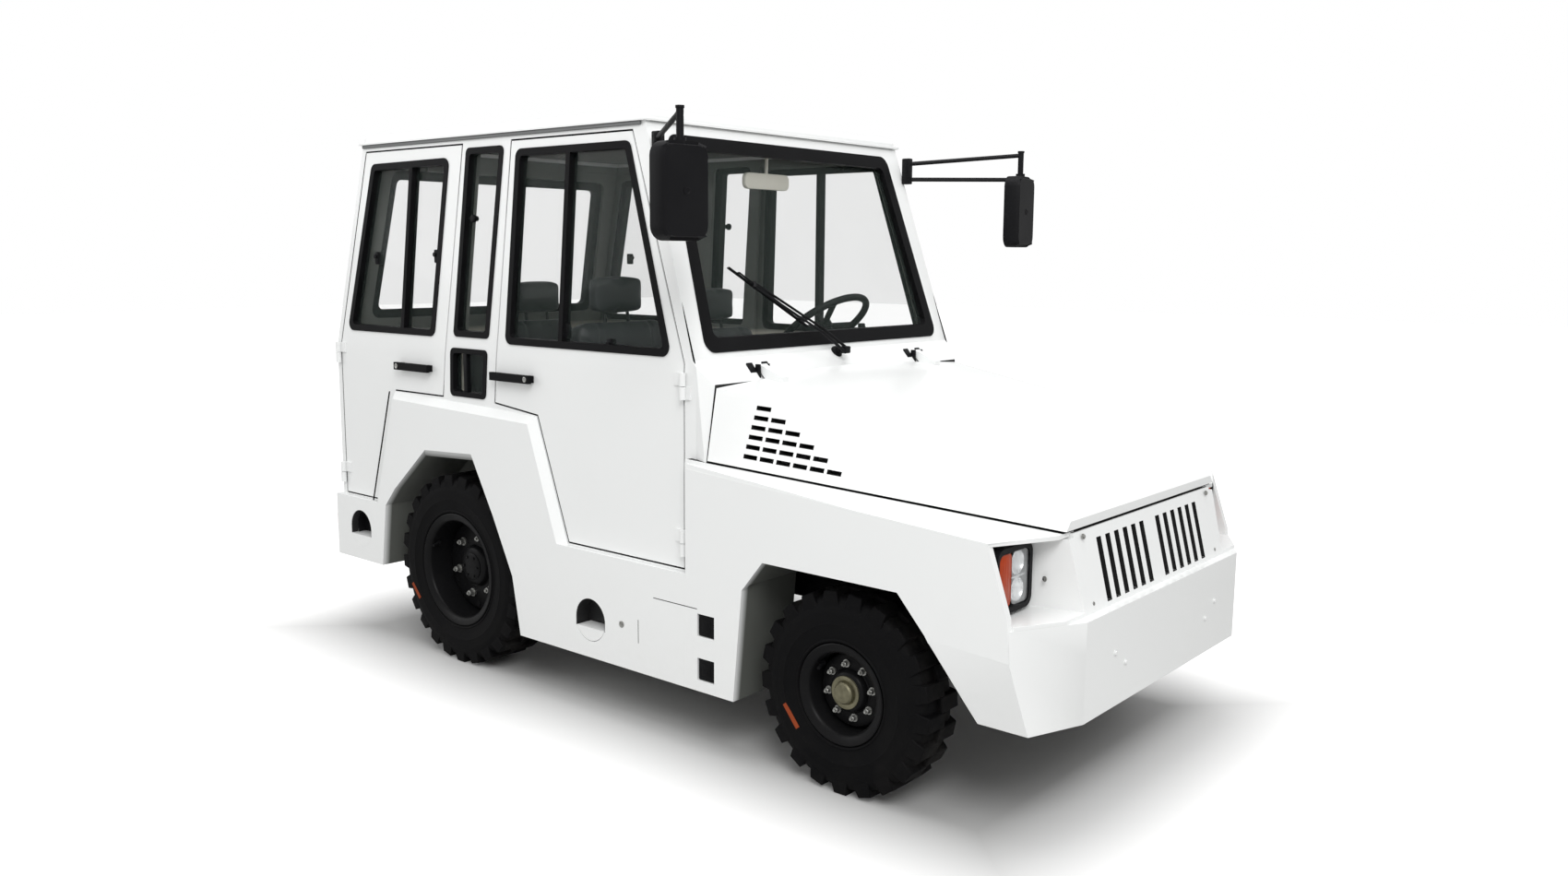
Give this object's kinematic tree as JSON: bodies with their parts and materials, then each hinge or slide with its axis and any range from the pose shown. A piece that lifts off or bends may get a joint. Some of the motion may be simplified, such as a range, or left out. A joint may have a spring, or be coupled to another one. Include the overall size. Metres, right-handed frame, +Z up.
{
  "type": "airport baggage tug",
  "caption": "Four-wheel airport baggage tug with an enclosed crew cab, hinged bonnet and doors, steered front wheels, push bumper and rear tow hitch.",
  "frame": {"origin": "on the ground under the middle of the tug, from bumper face to tow hitch", "axes": "+X forward, +Y to the driver's left, +Z up"},
  "size_m": [3.318, 1.9828, 1.95],
  "materials": {
    "white_paint": "gloss white enamel over steel sheet",
    "black_frame": "satin black chassis paint",
    "black_rubber": "matt black rubber and moulded trim",
    "tyre_rubber": "matt black industrial tyre rubber",
    "black_rim": "satin black wheel paint",
    "tinted_glass": "lightly green tinted glass",
    "grey_casting": "dark grey castings",
    "black_plastic": "matt black plastic",
    "clear_lens": "clear headlamp lens",
    "amber_lens": "amber lens",
    "red_lens": "red lens",
    "seat_vinyl": "dark grey vinyl"
  },
  "bodies": {
    "body": {"chassis_frame": "black_frame", "leaf_springs": "black_frame", "engine_block": "grey_casting", "radiator": "black_frame", "front_axle": "grey_casting", "rear_axle": "grey_casting", "tow_hitch": "black_frame", "body_sides": "white_paint", "front_fenders": "white_paint", "front_bumper": "white_paint", "nose_panel": "white_paint", "cowl_panel": "white_paint", "cab_frame": "white_paint", "cab_floor": "black_rubber", "roof_panel": "white_paint", "rear_apron": "white_paint", "window_seals": "black_rubber", "fixed_glass": "tinted_glass", "door_hinges": "white_paint", "bonnet_hinges": "black_frame", "mirrors": "black_plastic", "wiper": "black_plastic", "lamp_bezels": "black_plastic", "headlamp_lenses": "clear_lens", "turn_lenses": "amber_lens", "tail_lamps": "red_lens", "seats": "seat_vinyl", "dashboard": "black_plastic"},
    "bonnet": {"bonnet": "white_paint"},
    "knuckle_left": {"knuckle_left": "grey_casting"},
    "knuckle_right": {"knuckle_right": "grey_casting"},
    "tie_rod": {"tie_rod": "grey_casting"},
    "door_front_left": {"door_front_left": "white_paint", "door_frame_front_left": "black_rubber", "door_glass_front_left": "tinted_glass"},
    "wheel_front_left": {"tyre_front_left": "tyre_rubber", "rim_front_left": "black_rim"},
    "door_front_right": {"door_front_right": "white_paint", "door_frame_front_right": "black_rubber", "door_glass_front_right": "tinted_glass"},
    "wheel_front_right": {"tyre_front_right": "tyre_rubber", "rim_front_right": "black_rim"},
    "door_rear_left": {"door_rear_left": "white_paint", "door_frame_rear_left": "black_rubber", "door_glass_rear_left": "tinted_glass"},
    "wheel_rear_left": {"tyre_rear_left": "tyre_rubber", "rim_rear_left": "black_rim"},
    "door_rear_right": {"door_rear_right": "white_paint", "door_frame_rear_right": "black_rubber", "door_glass_rear_right": "tinted_glass"},
    "wheel_rear_right": {"tyre_rear_right": "tyre_rubber", "rim_rear_right": "black_rim"}
  },
  "joints": [
    {"name": "steer_right", "type": "hinge", "parent": "body", "child": "knuckle_right", "pos_m": [1.006, -0.5, 0.295], "axis": [0, 0, 1], "range_deg": [-30, 30]},
    {"name": "steer_left", "type": "hinge", "parent": "body", "child": "knuckle_left", "pos_m": [1.006, 0.5, 0.295], "axis": [0, 0, 1], "range_deg": [-30, 30]},
    {"name": "tie_rod_pivot", "type": "hinge", "parent": "knuckle_right", "child": "tie_rod", "pos_m": [0.876, -0.5, 0.268], "axis": [0, 0, 1], "range_deg": [-30, 30]},
    {"name": "bonnet_hinge", "type": "hinge", "parent": "body", "child": "bonnet", "pos_m": [0.489, 0, 1.166], "axis": [0, -1, 0], "range_deg": [0, 55]},
    {"name": "wheel_front_left_spin", "type": "hinge", "parent": "knuckle_left", "child": "wheel_front_left", "pos_m": [1.006, 0.6075, 0.295], "axis": [0, 1, 0], "continuous": true},
    {"name": "wheel_rear_left_spin", "type": "hinge", "parent": "body", "child": "wheel_rear_left", "pos_m": [-0.779, 0.585, 0.353], "axis": [0, 1, 0], "continuous": true},
    {"name": "door_front_left_hinge", "type": "hinge", "parent": "body", "child": "door_front_left", "pos_m": [0.412, 0.702, 1], "axis": [0, 0, -1], "range_deg": [0, 80]},
    {"name": "door_rear_left_hinge", "type": "hinge", "parent": "body", "child": "door_rear_left", "pos_m": [-1.499, 0.702, 1], "axis": [0, 0, 1], "range_deg": [0, 80]},
    {"name": "wheel_front_right_spin", "type": "hinge", "parent": "knuckle_right", "child": "wheel_front_right", "pos_m": [1.006, -0.6075, 0.295], "axis": [0, 1, 0], "continuous": true},
    {"name": "wheel_rear_right_spin", "type": "hinge", "parent": "body", "child": "wheel_rear_right", "pos_m": [-0.779, -0.585, 0.353], "axis": [0, 1, 0], "continuous": true},
    {"name": "door_front_right_hinge", "type": "hinge", "parent": "body", "child": "door_front_right", "pos_m": [0.412, -0.702, 1], "axis": [0, 0, 1], "range_deg": [0, 80]},
    {"name": "door_rear_right_hinge", "type": "hinge", "parent": "body", "child": "door_rear_right", "pos_m": [-1.499, -0.702, 1], "axis": [0, 0, -1], "range_deg": [0, 80]}
  ],
  "couplings": [
    {"joint": "steer_left", "follows": "steer_right", "ratio": 1},
    {"joint": "tie_rod_pivot", "follows": "steer_right", "ratio": -1}
  ]
}
